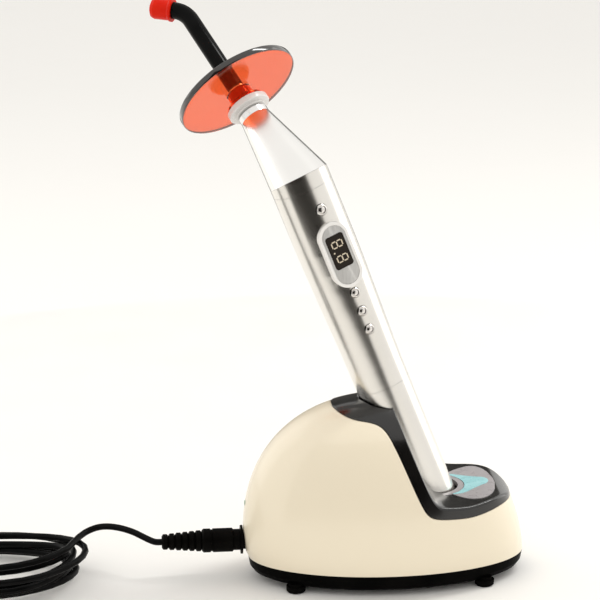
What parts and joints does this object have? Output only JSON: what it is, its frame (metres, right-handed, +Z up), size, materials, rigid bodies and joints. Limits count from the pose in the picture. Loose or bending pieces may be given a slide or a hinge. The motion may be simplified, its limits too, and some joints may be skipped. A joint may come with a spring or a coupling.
{
  "type": "dental curing light",
  "caption": "Cordless curing light with a bent nose, black light guide and orange eye shield, standing in a domed charging base with its supply lead and wall adapter.",
  "frame": {"origin": "centre of the four feet of the charging base, on the table", "axes": "+Z up, +X towards the dish at the front of the base, -X towards the jack and the lead; the display looks towards -Y"},
  "size_m": [0.397, 0.1118, 0.2657],
  "materials": {
    "shell_white": "gloss",
    "tray_black": "satin",
    "rubber_black": "matte",
    "steel": "zinc plated",
    "insert_black": "gloss",
    "label_silver": "printed film",
    "label_teal": "printed film",
    "ring_grey": "satin",
    "cup_black": "matte",
    "contact_gold": "gold plated",
    "board_green": "solder mask",
    "chip_black": "moulded",
    "jack_black": "satin",
    "lamp_green": "clear",
    "cord_black": "gloss sheath",
    "adapter_black": "fine texture",
    "nickel": "nickel plated",
    "alu_satin": "satin anodised",
    "switch_grey": "moulded",
    "cell_wrap": "shrink wrap",
    "bezel_white": "gloss",
    "panel_silver": "brushed",
    "window_black": "gloss",
    "digit_cream": "lit segments",
    "button_chrome": "polished",
    "lens_clear": "clear",
    "led_white": "ceramic",
    "clip_black": "moulded",
    "ferrule_light": "satin",
    "rod_black": "polished black coat",
    "shield_orange": "translucent",
    "cap_red": "silicone"
  },
  "bodies": {
    "base": {"base_shell": "shell_white", "base_tray": "tray_black", "tray_feet": "rubber_black", "tray_screws": "steel", "ballast_plate": "steel", "cradle_insert": "insert_black", "dish_label": "label_silver", "label_motif": "label_teal", "socket_ring": "ring_grey", "socket_cup": "cup_black", "contact_block": "cup_black", "base_board": "board_green", "board_chips": "chip_black", "board_screws": "steel", "dc_jack": "jack_black", "charge_lamp": "lamp_green", "plug_barrel": "nickel", "plug_body": "cord_black", "plug_relief": "cord_black", "cord_lead": "cord_black", "cord_coil": "cord_black", "cord_tail": "cord_black", "adapter_relief": "cord_black", "adapter_case": "adapter_black", "adapter_cover": "adapter_black", "adapter_pins": "nickel"},
    "pin_centre": {"charge_pin_centre": "contact_gold"},
    "pin_side": {"charge_pin_side": "contact_gold"},
    "tail": {"tail_sleeve": "alu_satin", "tail_insulator": "cup_black", "tail_contacts": "contact_gold", "battery": "cell_wrap", "battery_spring": "nickel", "tail_seal": "rubber_black"},
    "handpiece": {"body_tube": "alu_satin", "neck_collar": "alu_satin", "nose_cone": "alu_satin", "nose_ring": "alu_satin", "display_bezel": "bezel_white", "display_panel": "panel_silver", "display_window": "window_black", "display_digits": "digit_cream", "display_module": "chip_black", "main_board": "board_green", "switches": "switch_grey", "heat_sink": "alu_satin", "led_board": "led_white", "led_lens": "lens_clear"},
    "trigger": {"trigger_button": "button_chrome"},
    "power": {"power_button": "button_chrome"},
    "mode": {"mode_button": "button_chrome"},
    "time": {"time_button": "button_chrome"},
    "clip": {"guide_clip": "clip_black"},
    "guide": {"guide_ferrule": "ferrule_light", "guide_rod": "rod_black"},
    "shield": {"shield_disc": "shield_orange"},
    "cap": {"tip_cap": "cap_red"}
  },
  "joints": [
    {"name": "handpiece_lift", "type": "slide", "parent": "base", "child": "tail", "axis": [-0.3665, 0, 0.9304], "range_m": [0, 0.09]},
    {"name": "tail_unscrew", "type": "hinge", "parent": "tail", "child": "handpiece", "pos_m": [0.02575, 0, 0.025], "axis": [-0.3665, 0, 0.9304], "continuous": true},
    {"name": "guide_swivel", "type": "hinge", "parent": "handpiece", "child": "clip", "pos_m": [-0.03773, 0, 0.18615], "axis": [-0.4563, 0.5888, 0.6672], "continuous": true},
    {"name": "guide_pull", "type": "slide", "parent": "clip", "child": "guide", "axis": [-0.4563, 0.5888, 0.6672], "range_m": [0, 0.03]},
    {"name": "shield_spin", "type": "hinge", "parent": "guide", "child": "shield", "pos_m": [-0.06588, 0.03633, 0.22731], "axis": [-0.4563, 0.5888, 0.6672], "continuous": true},
    {"name": "cap_pull", "type": "slide", "parent": "guide", "child": "cap", "axis": [-0.9217, 0.3827, 0.0637], "range_m": [0, 0.02]},
    {"name": "trigger_press", "type": "slide", "parent": "handpiece", "child": "trigger", "axis": [-0.272, 0.9563, -0.1072], "range_m": [0, 0.0005], "stiffness_N_per_m": 1500, "springref_m": -0.0003},
    {"name": "power_press", "type": "slide", "parent": "handpiece", "child": "power", "axis": [-0.272, 0.9563, -0.1072], "range_m": [0, 0.0005], "stiffness_N_per_m": 1500, "springref_m": -0.0003},
    {"name": "mode_press", "type": "slide", "parent": "handpiece", "child": "mode", "axis": [-0.272, 0.9563, -0.1072], "range_m": [0, 0.0005], "stiffness_N_per_m": 1500, "springref_m": -0.0003},
    {"name": "time_press", "type": "slide", "parent": "handpiece", "child": "time", "axis": [-0.272, 0.9563, -0.1072], "range_m": [0, 0.0005], "stiffness_N_per_m": 1500, "springref_m": -0.0003},
    {"name": "pin_centre_press", "type": "slide", "parent": "base", "child": "pin_centre", "axis": [-0.3665, 0, 0.9304], "range_m": [-0.001, 0], "stiffness_N_per_m": 400, "springref_m": 0.0005},
    {"name": "pin_side_press", "type": "slide", "parent": "base", "child": "pin_side", "axis": [-0.3665, 0, 0.9304], "range_m": [-0.001, 0], "stiffness_N_per_m": 400, "springref_m": 0.0005}
  ]
}
